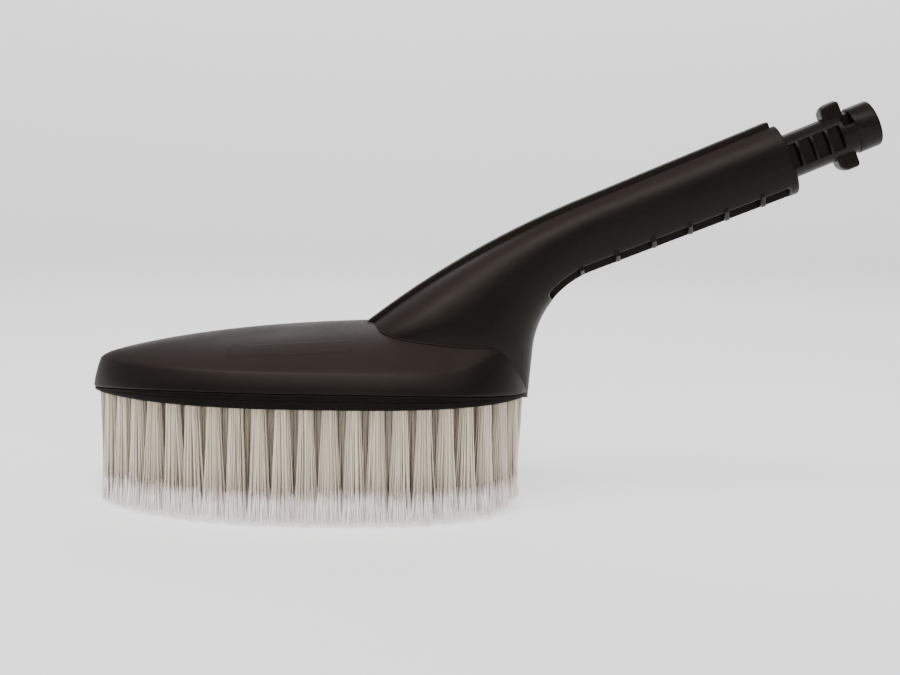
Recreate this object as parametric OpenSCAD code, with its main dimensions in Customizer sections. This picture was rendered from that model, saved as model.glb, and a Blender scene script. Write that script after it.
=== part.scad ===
// Rigid wash brush with a water-fed head and a bayonet inlet.
// +X runs from the head's nose to the inlet, +Z is up, bristle tips stand on Z = 0.

/* [Head] */
// Length from the nose to the widest place
nose_len = 91; // [85:0.5:95]
// Length from the widest place to the rear end
tail_len = 76; // [73:0.5:80]
// Half of the head's greatest width
head_half = 41; // [39:0.5:43]
// Height of the crease between flange and deck
crease_z = 56.2; // [55:0.1:58]
// How far the crease rises at the rear corners
crease_lift = 7.1; // [4:0.1:8]
// Height of the deck's ridge above the crease
deck_rise = 15.2; // [12:0.1:17]
// How far the flange leans in between rim and crease
flange_lean = 3.2; // [2:0.1:4]
// Height of the flange's lower edge at its two ends
flange_z = 44.2; // [44:0.1:45]
// Rise of the flange's lower edge at mid length
flange_arch = 4.5; // [3:0.1:5]
// Wall thickness of the housing
wall = 2.4; // [2:0.1:3]

/* [Handle] */
// Half of the handle's width
grip_half = 12; // [11:0.5:13]
// Direction of the inlet axis above the horizontal, in degrees
inlet_angle = 23; // [22:0.5:24]
// Spacing of the cross ribs in the open underside
rib_pitch = 14.4; // [13:0.1:16]
// Number of cross ribs
rib_count = 6; // [4:1:6]
// Thickness of ribs and centre web
rib_t = 1.6; // [1.2:0.1:2.2]
// Depth of the underside between the side walls' edges and the web's edge
skirt_gap = 4; // [3:0.5:5]

/* [Water channel cover] */
// Width of the cover strip
cover_w = 9; // [8:0.5:10]
// How far the strip stands above the crown
cover_proud = 1.6; // [1:0.1:2]
// Width of the channel under the strip
channel_w = 6; // [5:0.5:6.5]
// Depth of the channel below the strip
channel_depth = 6; // [5:0.5:7]

/* [Bayonet spigot] */
// Radius of the tip
tip_r = 8.75; // [8.5:0.05:9]
// Radius of the seal bore in the tip
seal_bore_r = 5; // [4.5:0.1:5.5]
// Depth of the seal bore
seal_bore_depth = 12; // [10:0.5:13]
// Radius over the two lugs
lug_r = 13.2; // [12.8:0.1:13.5]
// Length of a lug along the axis
lug_len = 7.5; // [6:0.1:8]
// Width of a lug
lug_w = 8.4; // [7:0.1:9]

/* [Bristles] */
// Free length of the longest bristles
bristle_len = 43; // [40:0.5:46]
// Distance between tufts along a row
tuft_pitch = 8.4; // [8:0.1:9]
// Distance between rows
row_gap = 7.5; // [7.4:0.1:8]
// Tuft radius at the block
root_r = 2.2; // [2:0.1:2.3]
// Tuft radius at the tips
flare_r = 3.3; // [3:0.1:3.4]

/* [Hidden] */
facets = 24;

// Where the inlet axis meets the handle's end, measured from the nose
inlet_x = 263.6;
inlet_z = 134.95;
axis_x = cos(inlet_angle);
axis_z = sin(inlet_angle);
tip_s = 33.3;
tip_round = 1;
end_s = -2.2;
tip_far_x = inlet_x + (tip_s - tip_round) * axis_x + (tip_r - tip_round) * axis_z + tip_round;
origin_x = tip_far_x / 2;

// Brush block
block_z = bristle_len;
plate_top = block_z + 6;
plate_inset = 3.5;
gasket_h = 1.5;
chamber_z = plate_top + gasket_h;
hole_depth = 4.2;
row_inset = 4.5;
row_lift = [2.5, 0.8, 0, 0, 0];
screw_x = [60, 80, 100, 120];
outlet_x = [70, 90, 110];

// Colours
black = [0.07, 0.06, 0.06];
seal_black = [0.03, 0.03, 0.03];
nylon = [0.82, 0.78, 0.72];
steel = [0.72, 0.72, 0.70];

// ---------- outlines ----------

// Half-width of the egg outline at x, drawn in by d
function half_at(x, d) =
    x < nose_len
    ? (head_half - d) * pow(max(0, 1 - pow((nose_len - x) / (nose_len - d), 2.5)), 0.8)
    : (head_half - d) * pow(max(0, 1 - pow((x - nose_len) / (tail_len - d), 3)), 0.65);

// One side of the outline, nose to tail, in fine steps
function side_fine(d) = [for (a = [0:2:180])
    a <= 90
    ? [nose_len - (nose_len - d) * pow(cos(a), 0.8), (head_half - d) * pow(sin(a), 1.6)]
    : [nose_len + (tail_len - d) * pow(-cos(a), 2 / 3), (head_half - d) * pow(sin(a), 1.3)]];

// Running length along a list of points
function running(p) = [for (i = 0, s = 0; i < len(p);
    s = s + (i + 1 < len(p) ? norm(p[i + 1] - p[i]) : 0), i = i + 1) s];

// n + 1 evenly spaced points from nose to tail on one side
function side_even(n, d) =
    let (p = side_fine(d), s = running(p), total = s[len(s) - 1],
         xs = [for (i = [0:len(p) - 1]) [s[i], p[i][0]]],
         ys = [for (i = [0:len(p) - 1]) [s[i], p[i][1]]])
    [for (k = [0:n]) [lookup(total * k / n, xs), lookup(total * k / n, ys)]];

// The whole closed outline, 2 n points
function outline(n, d) =
    let (p = side_even(n, d))
    concat([for (i = [0:n]) p[i]], [for (i = [n - 1:-1:1]) [p[i][0], -p[i][1]]]);

function row_length(d) = let (s = running(side_fine(d))) s[len(s) - 1];

// ---------- lofts ----------

// Triangles between rings of equal count, with a fan cap on each end
module loft(rings) {
    m = len(rings);
    n = len(rings[0]);
    function mean(r) = [for (c = [0:2]) [for (p = r) p[c]] * [for (p = r) 1 / len(r)]];
    points = concat([for (r = rings) each r], [mean(rings[0]), mean(rings[m - 1])]);
    sides = [for (j = [0:m - 2], i = [0:n - 1])
        let (a = j * n + i, b = j * n + (i + 1) % n)
        each [[a, b, b + n], [a, b + n, a + n]]];
    low = [for (i = [0:n - 1]) [m * n, (i + 1) % n, i]];
    high = [for (i = [0:n - 1]) [m * n + 1, (m - 1) * n + i, (m - 1) * n + (i + 1) % n]];
    polyhedron(points, concat(sides, low, high));
}

// ---------- head ----------

function ease(t) = let (c = min(1, max(0, t))) c * c * (3 - 2 * c);
function crease_at(x) = crease_z + crease_lift * ease((x - 136) / 24);
function ridge_at(x) = crease_z + deck_rise * pow(max(0, 1 - pow(abs(140 - x) / 137, 2.2)), 0.8);
function deck_at(x, y) =
    let (w = max(0.5, half_at(x, flange_lean)), c = crease_at(x))
    c + max(0, ridge_at(x) - c) * (1 - pow(min(1, abs(y) / w), 2.2));

// The domed cover with its flange, one wall thick: rings run up the inside and down the outside
module head_shell() {
    n = facets;
    function lay(r, z) = [for (p = r) [p[0], p[1], z]];
    function near(r, f) = [for (p = r) [nose_len + f * (p[0] - nose_len), f * p[1]]];
    function on_deck(r, drop) = [for (p = r) [p[0], p[1], deck_at(p[0], p[1]) - drop]];
    function at_crease(d, drop) = [for (p = outline(n, d)) [p[0], p[1], crease_at(p[0]) - drop]];
    function at_rim(d) = [for (p = outline(n, d)) [p[0], p[1], flange_edge(p[0])]];
    seat = outline(n, flange_lean);
    inner = outline(n, flange_lean + 2 * wall);
    outer = outline(n, flange_lean + 2.4);
    loft([on_deck(near(inner, 0.2), wall), on_deck(near(inner, 0.5), wall),
          on_deck(near(inner, 0.8), wall), on_deck(inner, wall + 1.2), lay(inner, chamber_z),
          lay(seat, chamber_z), at_rim(flange_lean), at_rim(0), at_crease(flange_lean, 1.4),
          at_crease(flange_lean + 0.8, 0.2), on_deck(outer, 0), on_deck(near(outer, 0.8), 0),
          on_deck(near(outer, 0.5), 0), on_deck(near(outer, 0.2), 0)]);
}

module prism(d, low, high, n = facets) {
    translate([0, 0, low]) linear_extrude(high - low) polygon(outline(n, d));
}

// Height of the flange's arched lower edge at x
function flange_edge(x) =
    let (mid = (nose_len + tail_len) / 2)
    flange_z + flange_arch * (1 - pow(min(1, abs(x - mid) / mid), 3));

// Space under the flange's lower edge, lowered by gap
module under_arch(gap) {
    far = nose_len + tail_len;
    top = [for (i = [0:24]) let (x = -3 + i * (far + 6) / 24) [x, flange_edge(x) - gap]];
    rotate([90, 0, 0]) linear_extrude(120, center = true)
        polygon(concat([[far + 3, 20], [-3, 20]], top));
}

// ---------- handle curves in the XZ plane ----------

crown_r = 360;
crown_end = [185, 118];
crown_slope = 23.2;
crown_centre = crown_end + crown_r * [sin(crown_slope), -cos(crown_slope)];
belly_r = 35;
belly_start = [168.5, 61.5];
belly_lean = 84.6;
belly_slope = 21.7;
belly_centre = belly_start + belly_r * [sin(belly_lean), -cos(belly_lean)];
belly_end = belly_centre + belly_r * [-sin(belly_slope), cos(belly_slope)];

// Crown of the handle; u from 0 at the foot to 1 at the arc's end, then on along the straight
function crown(u, off = 0) =
    u <= 1
    ? let (a = 39 - u * (39 - crown_slope))
      crown_centre + (crown_r + off) * [-sin(a), cos(a)]
    : crown_end + off * [-sin(crown_slope), cos(crown_slope)]
      + (u - 1) * 76 * [cos(crown_slope), sin(crown_slope)];

// Rear and underside of the handle; v from 0 at the rim to 1, 2 and 3 at its corners
function belly(v, off = 0) =
    v <= 1
    ? let (a = atan2(belly_start[1] - block_z, belly_start[0] - 167))
      [167, block_z] + v * (belly_start - [167, block_z]) + off * [-sin(a), cos(a)]
    : v <= 2
    ? let (a = belly_lean - (v - 1) * (belly_lean - belly_slope))
      belly_centre + (belly_r + off) * [-sin(a), cos(a)]
    : belly_end + off * [-sin(belly_slope), cos(belly_slope)]
      + (v - 2) * 83 * [cos(belly_slope), sin(belly_slope)];

// Points of the handle's crown and belly on the plane that lies s along the inlet axis
inlet = [inlet_x, inlet_z];
inlet_dir = [axis_x, axis_z];
function meet(p, slope, s) =
    let (d = [cos(slope), sin(slope)]) p + (s - (p - inlet) * inlet_dir) / (d * inlet_dir) * d;
function crown_s(s) = meet(crown(1, -cover_proud), crown_slope, s);
function belly_s(s) = meet(belly_end, belly_slope, s);

// Section of the handle. Its outline is a superellipse with a notch for the water channel in
// the crown; deep is the depth of the hollow in its underside, and 0 where it is solid.
section_e = 0.86;
function section(low, high, half, nose, deep, groove) =
    let (mid = (low + high) / 2, h = norm(high - low) / 2, dir = (high - low) / (2 * h), e = section_e,
         lip = cover_w / 2 + 0.1, gut = channel_w / 2,
         a_lip = asin(pow(lip / (half * (1 + nose)), 1 / e)),
         edge = skirt_gap - h,
         a_edge = 180 - acos(pow(-edge / h, 1 / e)),
         roof = deep - h,
         at = function (a) [half * pow(abs(sin(a)), e) * (1 + nose * cos(a)),
                            h * sign(cos(a)) * pow(abs(cos(a)), e)],
         out = function (c) half * pow(1 - pow(abs(c / h), 2 / e), e / 2),
         right = [for (k = [0:8]) at(a_lip + (a_edge - a_lip) * k / 8)],
         under = deep == 0
             ? [for (k = [1:5]) at(a_edge + (179 - a_edge) * k / 5)]
             : [[out(edge) - wall, edge], [out((edge + roof) / 2) - wall, (edge + roof) / 2],
                [out(roof) - wall, roof], [rib_t / 2, roof], [rib_t / 2, 0.25 - h]],
         bed = right[0][1] - (groove > 0 ? 0.6 : 0.001),
         notch = [[gut + 0.01, bed - groove], [gut + 0.02, bed], [lip - 0.01, bed]],
         one = concat(notch, right, under))
    [for (k = [0:2 * len(one) - 1])
        let (q = k < len(one) ? one[k] : one[2 * len(one) - 1 - k], y = k < len(one) ? q[0] : -q[0])
        [mid[0] + dir[0] * q[1], y, mid[1] + dir[1] * q[1]]];

// Stations up the foot: [belly v, crown u, half-width, fullness at the front, hollow depth]
foot_stations = [[0, 0, 20, 0.35, 0], [0.5, 0.08, 23, 0.3, 0], [1, 0.24, 22, 0.2, 0],
                 [1.2, 0.38, 19, 0.14, 0], [1.4, 0.53, 16.5, 0.08, 0], [1.5, 0.6, 15.4, 0.05, 0],
                 [1.58, 0.66, 14.6, 0, 8], [1.7, 0.74, 13.6, 0, 12], [1.85, 0.84, 12.7, 0, 14]];
// Stations along the grip: [distance along the inlet axis, hollow depth, groove depth]
grip_stations = [[-84, 15, 6], [-72, 15, 6], [-58, 15, 6], [-41, 15, 6], [-38, 4.6, 6],
                 [-32, 4.6, 6], [-30, 4.6, 0.2], [-8, 4.6, 0.2], [-6, 0, 0.2], [-4.4, 0, 0.2],
                 [-4.2, 0, 0], [end_s, 0, 0]];

module handle_shell() {
    loft(concat(
        [section([165.5, block_z + 2.3], [102.0, 62], 18, 0.35, 0, channel_depth)],
        [for (q = foot_stations) section(belly(q[0]), crown(q[1], -cover_proud),
            q[2] * grip_half / 12, q[3], q[4], channel_depth)],
        [for (q = grip_stations) section(belly_s(q[0]), crown_s(q[0]), grip_half, 0, q[1], q[2])]));
}

module xz_slab(points, width) {
    rotate([90, 0, 0]) linear_extrude(width, center = true) polygon(points);
}

// Local frame of the inlet: Z along the spigot towards its tip, +X to the underside
module on_inlet() {
    translate([inlet_x, 0, inlet_z]) rotate([0, 90 - inlet_angle, 0]) children();
}

module place() { translate([-origin_x, 0, 0]) children(); }

// ---------- housing ----------

rib_first_s = -17.4;
socket_r = 7.6;
socket_s = -36;

// Band that follows the crown, between two offsets from the cover's top
module crown_band(low, high, width, u_first, s_last) {
    steps = [for (k = [0:16]) u_first + k * (1 - u_first) / 16];
    end = meet(crown(1), crown_slope, s_last);
    up = [-sin(crown_slope), cos(crown_slope)];
    xz_slab(concat([for (u = steps) crown(u, low)], [end + low * up, end + high * up],
                   [for (k = [16:-1:0]) crown(steps[k], high)]), width);
}

// The two ribs beside the socket are shallow, the others reach up to the hollow's roof
module cross_ribs() {
    on_inlet() for (k = [0:rib_count - 1]) {
        depth = 13.4 - 0.36 * k;
        top = k < 2 ? 8.7 : -3;
        translate([0, 0, rib_first_s - k * rib_pitch]) hull() {
            translate([top, -10.4, 0]) cube([9.6 - top, 20.8, rib_t]);
            translate([top, -6.4, 0]) cube([depth - top, 12.8, rib_t]);
        }
    }
}

module screw_bosses() {
    for (x = screw_x) hull() {
        translate([x, 0, plate_top + 0.1]) cylinder(h = 6, r = 3.4, $fn = 12);
        translate([x, 0, ridge_at(x) - 3]) cylinder(h = 2, r = 4.2, $fn = 12);
    }
}

module housing() {
    color(black) place() difference() {
        union() {
            head_shell();
            difference() {
                handle_shell();
                prism(flange_lean - 0.6, block_z - 5, chamber_z + 1.4);
            }
            cross_ribs();
            screw_bosses();
        }
        translate([117.5, 0, 64]) cube([8.9, channel_w - 0.7, 30], center = true);
        on_inlet() translate([0, 0, socket_s]) cylinder(h = 60, r = socket_r, $fn = 40);
        on_inlet() translate([-11, -channel_w / 2 + 0.3, socket_s - 1]) cube([12, channel_w - 0.6, 3]);
        for (x = screw_x)
            translate([x, 0, plate_top - 1]) cylinder(h = 11, r = 1.3, $fn = 12);
    }
}

// ---------- cover strip ----------

module channel_cover() {
    color(black) place() {
        crown_band(-cover_proud - 0.9, 0, cover_w, 0.01, -4.5);
        crown_band(-cover_proud - 2, -cover_proud - 0.8, channel_w - 0.4, 0.06, -33);
    }
}

// ---------- spigot ----------

shaft_r = 8.4;
core_r = 6.2;
shank_r = 7.5;
seal_wire = 1.2;
seal_s = [-14, -22];
pocket_pitch = 5.7;
pocket_len = 4.3;
pocket_high = 8.8;
pocket_last_s = 14.4;
lug_s = 15.2;

module lug(side) {
    intersection() {
        translate([side * 10, 0, lug_s + lug_len / 2]) cube([9, lug_w, lug_len], center = true);
        translate([0, 0, lug_s - 1]) cylinder(h = lug_len + 2, r = lug_r);
        translate([side * (lug_r - 3.4), 0, lug_s + 3.4]) union() {
            rotate([90, 0, 0]) cylinder(h = 12, r = 3.4, center = true);
            translate([-side * 4, 0, 0]) cube([8, 12, 6.8], center = true);
            translate([0, 0, 2.6]) cube([6.8, 12, 3], center = true);
        }
    }
}

module bayonet_spigot() {
    color(black) place() on_inlet() difference() {
        union() {
            translate([0, 0, socket_s + 2]) cylinder(h = 40, r = shank_r);
            translate([0, 0, end_s]) cylinder(h = 27.5, r = shaft_r);
            rotate_extrude() polygon([[0, 24], [tip_r, 24], [tip_r, tip_s - tip_round],
                [tip_r - 0.3, tip_s - 0.3], [tip_r - tip_round, tip_s], [0, tip_s]]);
            lug(-1);
            lug(1);
        }
        // side pockets, their thin ribs left standing
        for (side = [-1, 1], k = [0:3])
            translate([0, side * (core_r + 5), pocket_last_s + pocket_len / 2 - k * pocket_pitch])
                cube([pocket_high, 10, pocket_len], center = true);
        // relief between the upper lug and the tip
        for (side = [-1, 1])
            translate([-7.2, side * 8, 22.3]) cube([8, 9, 3.4], center = true);
        // grooves of the two sealing rings
        for (s = seal_s) translate([0, 0, s]) difference() {
            cylinder(h = 2 * seal_wire + 0.3, r = shank_r + 1, center = true);
            cylinder(h = 4 * seal_wire, r = socket_r - 2 * seal_wire, center = true);
        }
        translate([0, 0, tip_s - seal_bore_depth]) cylinder(h = 20, r = seal_bore_r);
        translate([0, 0, socket_s]) cylinder(h = 80, r = 3);
    }
}

module seal_ring(s) {
    color(seal_black) place() on_inlet() translate([0, 0, s])
        rotate_extrude() translate([socket_r - seal_wire - 0.02, 0]) circle(seal_wire, $fn = 32);
}

module front_seal_ring() { seal_ring(seal_s[0]); }
module rear_seal_ring() { seal_ring(seal_s[1]); }

// ---------- brush block ----------

function row_d(r) = row_inset + (r - 1) * row_gap;
function row_half_count(r) = floor(row_length(row_d(r)) / tuft_pitch + 0.3);
function row_places(r) = [for (p = outline(row_half_count(r), row_d(r)))
    if (abs(p[1]) < 0.01 || abs(p[1]) > flare_r + 0.1) p];

module brush_block() {
    color(black) place() difference() {
        union() {
            prism(plate_inset, block_z, plate_top);
            intersection() {
                prism(0.3, block_z, plate_top + 2);
                under_arch(0.2);
            }
        }
        for (r = [1:5], p = row_places(r))
            translate([p[0], p[1], block_z - 1]) cylinder(h = hole_depth + 1, r = root_r);
        for (x = outlet_x) translate([x, 0, block_z - 1]) cylinder(h = 12, r = 1.5);
        for (x = screw_x) translate([x, 0, block_z - 1]) {
            cylinder(h = 12, r = 1.8);
            cylinder(h = 3.4, r = 3.1);
        }
    }
}

module block_gasket() {
    color(seal_black) place() translate([0, 0, plate_top]) linear_extrude(gasket_h)
        difference() {
            polygon(outline(facets, plate_inset + 0.2));
            polygon(outline(facets, plate_inset + 3.2));
        }
}

module block_screws() {
    color(steel) place() for (x = screw_x) translate([x, 0, block_z]) difference() {
        union() {
            translate([0, 0, 0.4]) cylinder(h = 2, r = 2.9);
            cylinder(h = 14, r = 1.25);
        }
        translate([0, 0, -1]) cube([3.2, 0.8, 5], center = true);
        translate([0, 0, -1]) cube([0.8, 3.2, 5], center = true);
    }
}

// ---------- tufts and their anchors ----------

module tufts(r) {
    foot = row_lift[r - 1];
    color(nylon) place() for (p = row_places(r)) translate([p[0], p[1], 0])
        rotate_extrude() polygon([[0, foot], [flare_r, foot], [root_r, block_z],
            [root_r, block_z + hole_depth], [0, block_z + hole_depth]]);
}

module anchors(r) {
    color(steel) place() for (p = row_places(r))
        translate([p[0], p[1], block_z + hole_depth + 0.2]) cube([3, 0.5, 0.4], center = true);
}

module tufts_row_1() { tufts(1); }
module tufts_row_2() { tufts(2); }
module tufts_row_3() { tufts(3); }
module tufts_row_4() { tufts(4); }
module tufts_row_5() { tufts(5); }
module anchors_row_1() { anchors(1); }
module anchors_row_2() { anchors(2); }
module anchors_row_3() { anchors(3); }
module anchors_row_4() { anchors(4); }
module anchors_row_5() { anchors(5); }

housing();
channel_cover();
bayonet_spigot();
front_seal_ring();
rear_seal_ring();
brush_block();
block_gasket();
block_screws();
tufts_row_1();
tufts_row_2();
tufts_row_3();
tufts_row_4();
tufts_row_5();
anchors_row_1();
anchors_row_2();
anchors_row_3();
anchors_row_4();
anchors_row_5();
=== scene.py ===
"""Wash brush: the smooth mouldings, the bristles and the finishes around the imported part.

Every point is worked out in millimetres, X from the head's nose, and then put in the part's frame.
"""

import bpy
import numpy as np
from mathutils import Matrix, Vector


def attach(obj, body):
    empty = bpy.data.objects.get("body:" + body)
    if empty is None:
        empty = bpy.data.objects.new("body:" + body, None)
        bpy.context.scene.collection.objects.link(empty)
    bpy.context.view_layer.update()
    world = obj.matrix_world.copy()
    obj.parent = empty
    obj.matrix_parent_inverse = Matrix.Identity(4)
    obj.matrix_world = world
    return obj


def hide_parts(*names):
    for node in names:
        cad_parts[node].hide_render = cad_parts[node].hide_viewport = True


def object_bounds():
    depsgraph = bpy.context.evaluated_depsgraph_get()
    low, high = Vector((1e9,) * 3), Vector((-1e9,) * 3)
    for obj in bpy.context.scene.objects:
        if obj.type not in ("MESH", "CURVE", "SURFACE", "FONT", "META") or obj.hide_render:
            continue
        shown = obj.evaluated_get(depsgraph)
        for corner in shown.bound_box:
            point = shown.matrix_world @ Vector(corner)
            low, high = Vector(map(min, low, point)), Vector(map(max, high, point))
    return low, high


bl_info = {
    "name": "Wash brush",
    "version": (1, 0, 0),
    "blender": (4, 5, 0),
    "location": "3D View > Sidebar > Wash brush",
    "description": "Builds the mouldings, bristles and stage of a rigid wash brush",
    "category": "Object",
}

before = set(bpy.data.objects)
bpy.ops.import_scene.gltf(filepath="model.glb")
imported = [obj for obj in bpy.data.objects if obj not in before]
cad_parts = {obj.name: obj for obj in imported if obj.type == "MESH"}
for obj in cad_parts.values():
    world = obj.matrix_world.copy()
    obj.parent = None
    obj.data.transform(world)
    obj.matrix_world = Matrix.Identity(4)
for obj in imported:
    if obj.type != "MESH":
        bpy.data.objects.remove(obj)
CAD_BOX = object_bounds()
MM = 0.001
NOSE = np.array([CAD_BOX[0][0], 0.0, 0.0])  # the head's nose lies at the box's low end

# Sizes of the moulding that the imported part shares, in millimetres and degrees
NOSE_LEN, TAIL_LEN, HEAD_HALF = 91.0, 76.0, 41.0
HEAD_LEN = NOSE_LEN + TAIL_LEN
CREASE_Z, CREASE_LIFT, DECK_RISE = 56.2, 7.1, 15.2
LIFT_X, LIFT_RUN, RIDGE_X, RIDGE_RUN = 136.0, 24.0, 140.0, 137.0
FLANGE_LEAN, FLANGE_Z, FLANGE_ARCH = 3.2, 44.2, 4.5
BLOCK_Z, SEAT_Z = 43.0, 50.5
COVER_PROUD, COVER_W, CHANNEL_W = 1.6, 9.0, 6.0
GRIP_HALF, SECTION_E, WALL, RIB_T = 12.0, 0.86, 2.4, 1.6
INLET = np.array([263.6, 134.95])
INLET_ANGLE = np.radians(23.0)
ALONG = np.array([np.cos(INLET_ANGLE), np.sin(INLET_ANGLE)])
BELOW = np.array([np.sin(INLET_ANGLE), -np.cos(INLET_ANGLE)])
CROWN_R, CROWN_END, CROWN_RUN = 360.0, np.array([185.0, 118.0]), 76.0
CROWN_FOOT_SLOPE, CROWN_SLOPE = 39.0, 23.2
BELLY_R, BELLY_START = 35.0, np.array([168.5, 61.5])
BELLY_LEAN, BELLY_SLOPE = 84.6, 21.7
BODY_END = -2.2
TIP_R, TIP_S, SEAL_R, SEAL_DEPTH = 8.75, 33.3, 5.0, 12.0
LUG_S, LUG_END, LUG_R, LUG_CORNER, LUG_HALF = 15.2, 22.7, 13.2, 3.4, 4.2
POCKETS, POCKET_PITCH, LAST_POCKET_S = 4, 5.7, 16.5


# ---------- mesh helpers ----------


def grid_faces(rows, cols, close_rows=True, close_cols=False):
    """Quads that join each point of a grid to its neighbours, wrapping where closed."""
    i, j = np.meshgrid(
        np.arange(rows if close_cols else rows - 1),
        np.arange(cols if close_rows else cols - 1),
        indexing="ij",
    )
    right, down = (j + 1) % cols, (i + 1) % rows
    corners = [i * cols + j, i * cols + right, down * cols + right, down * cols + j]
    return np.stack(corners, -1).reshape(-1, 4)


def fan_faces(centre, first, count):
    """Triangles from a centre point to each edge of the ring that starts at first."""
    k = np.arange(count)
    return np.stack([np.full(count, centre), first + k, first + (k + 1) % count], -1)


def outward(points, faces):
    """The faces, turned round if the volume they enclose comes out negative."""
    volume = 0.0
    for block in faces:
        for k in range(1, block.shape[1] - 1):
            a, b, c = (points[block[:, n]] for n in (0, k, k + 1))
            volume += np.einsum("ij,ij->", a, np.cross(b, c))
    return [block[:, ::-1] for block in faces] if volume < 0 else faces


def loft(rings):
    """A closed solid: equal rings joined in order, with a fan to the mean point at each end."""
    rings = np.asarray(rings, float)
    rows, cols = rings.shape[:2]
    points = np.concatenate([rings.reshape(-1, 3), rings[[0, -1]].mean(1)])
    low = fan_faces(rows * cols, 0, cols)[:, ::-1]
    high = fan_faces(rows * cols + 1, (rows - 1) * cols, cols)
    return points, outward(points, [grid_faces(rows, cols), low, high])


def ring_solid(rings):
    """A closed solid whose last ring joins its first, like a bored tube."""
    rings = np.asarray(rings, float)
    rows, cols = rings.shape[:2]
    points = rings.reshape(-1, 3)
    return points, outward(points, [grid_faces(rows, cols, True, True)])


def piece(name, solids, material, nodes=(), sharp=35.0):
    """Puts closed solids into one mesh, in metres in the part's frame, riding on the one body."""
    points, blocks, base = [], [], 0
    for solid_points, solid_faces in solids:
        points.append(solid_points)
        blocks += [block + base for block in solid_faces]
        base += len(solid_points)
    points = np.concatenate(points) * MM + NOSE
    sizes = np.concatenate([np.full(len(b), b.shape[1]) for b in blocks])
    loops = np.concatenate([b.ravel() for b in blocks])
    mesh = bpy.data.meshes.new(name)
    mesh.vertices.add(len(points))
    mesh.vertices.foreach_set("co", points.astype(np.float32).ravel())
    mesh.loops.add(len(loops))
    mesh.loops.foreach_set("vertex_index", loops.astype(np.int32))
    mesh.polygons.add(len(sizes))
    starts = np.concatenate([[0], np.cumsum(sizes)[:-1]])
    mesh.polygons.foreach_set("loop_start", starts.astype(np.int32))
    mesh.update(calc_edges=True)
    mesh.shade_smooth()
    if sharp:
        mesh.set_sharp_from_angle(angle=np.radians(sharp))
    mesh.materials.append(material)
    # Normal Z per point, kept as the upward attribute that steers the dust and painted top sheen.
    normals = np.empty(len(points) * 3, np.float32)
    mesh.vertices.foreach_get("normal", normals)
    upward = mesh.attributes.new("upward", "FLOAT", "POINT")
    upward.data.foreach_set("value", np.ascontiguousarray(normals[2::3]))
    obj = bpy.data.objects.new(name, mesh)
    bpy.context.scene.collection.objects.link(obj)
    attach(obj, "root")
    if nodes:
        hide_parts(*nodes)
    return obj


def ease(t):
    """Smooth step: 3 t squared less 2 t cubed, held between 0 and 1."""
    t = np.clip(t, 0.0, 1.0)
    return t * t * (3.0 - 2.0 * t)


def window(value, low, high, soft):
    """1 between low and high and 0 outside, with a smooth wall soft wide at each side."""
    return ease((value - low) / soft + 0.5) * ease((high - value) / soft + 0.5)


# ---------- outline of the head ----------


def half_at(x, d):
    """Half-width at x: a blunt power curve from the nose to the widest place, then to the tail."""
    front = np.clip(1 - (np.clip(NOSE_LEN - x, 0, None) / (NOSE_LEN - d)) ** 2.5, 0, 1)
    rear = np.clip(1 - (np.clip(x - NOSE_LEN, 0, None) / (TAIL_LEN - d)) ** 3, 0, 1)
    return (HEAD_HALF - d) * np.where(x < NOSE_LEN, front**0.8, rear**0.65)


def side_line(d, count=1500):
    """One side of the outline drawn in by d: powers of sine and cosine, nose to tail."""
    a = np.linspace(0, np.pi, count)
    c, s = np.abs(np.cos(a)), np.sin(a)
    front = a <= np.pi / 2
    x = np.where(
        front,
        NOSE_LEN - (NOSE_LEN - d) * c**0.8,
        NOSE_LEN + (TAIL_LEN - d) * c ** (2 / 3),
    )
    return x, (HEAD_HALF - d) * np.where(front, s**1.6, s**1.3)


def outline(half_count, d):
    """2 half_count points at equal running lengths round the closed outline, nose first."""
    x, y = side_line(d)
    run = np.concatenate([[0], np.cumsum(np.hypot(np.diff(x), np.diff(y)))])
    at = np.linspace(0, run[-1], half_count + 1)
    x, y = np.interp(at, run, x), np.interp(at, run, y)
    return np.concatenate([x, x[-2:0:-1]]), np.concatenate([y, -y[-2:0:-1]])


def crease_at(x):
    """Height of the crease: level, then lifting smoothly over the last 24 mm before the tail."""
    return CREASE_Z + CREASE_LIFT * ease((x - LIFT_X) / LIFT_RUN)


def ridge_at(x):
    """Height of the deck's middle line: an arch about RIDGE_X, by the powers 2.2 and 0.8."""
    fall = (np.abs(RIDGE_X - x) / RIDGE_RUN) ** 2.2
    return CREASE_Z + DECK_RISE * np.clip(1 - fall, 0, 1) ** 0.8


def deck_at(x, y):
    """Height of the deck: from the ridge down to the crease as the offset to the power 2.2."""
    w = np.maximum(0.5, half_at(x, FLANGE_LEAN))
    c = crease_at(x)
    return c + np.clip(ridge_at(x) - c, 0, None) * (1 - np.minimum(1, np.abs(y) / w) ** 2.2)


def flange_edge(x):
    """Height of the flange's arched lower edge: a cubic arch over the head's length."""
    mid = HEAD_LEN / 2
    return FLANGE_Z + FLANGE_ARCH * (1 - np.minimum(1, np.abs(x - mid) / mid) ** 3)


# ---------- curves of the handle ----------


def crown(u, off=0.0):
    """Crown line: an arc that eases from the foot's slope to the handle's, then a straight."""
    u = np.asarray(u, float)[..., None]
    a = np.radians(CROWN_FOOT_SLOPE - np.minimum(u, 1) * (CROWN_FOOT_SLOPE - CROWN_SLOPE))
    slope = np.radians(CROWN_SLOPE)
    centre = CROWN_END + CROWN_R * np.array([np.sin(slope), -np.cos(slope)])
    arc = centre + (CROWN_R + off) * np.concatenate([-np.sin(a), np.cos(a)], -1)
    run = np.clip(u - 1, 0, None) * CROWN_RUN
    return arc + run * np.array([np.cos(slope), np.sin(slope)])


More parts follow.
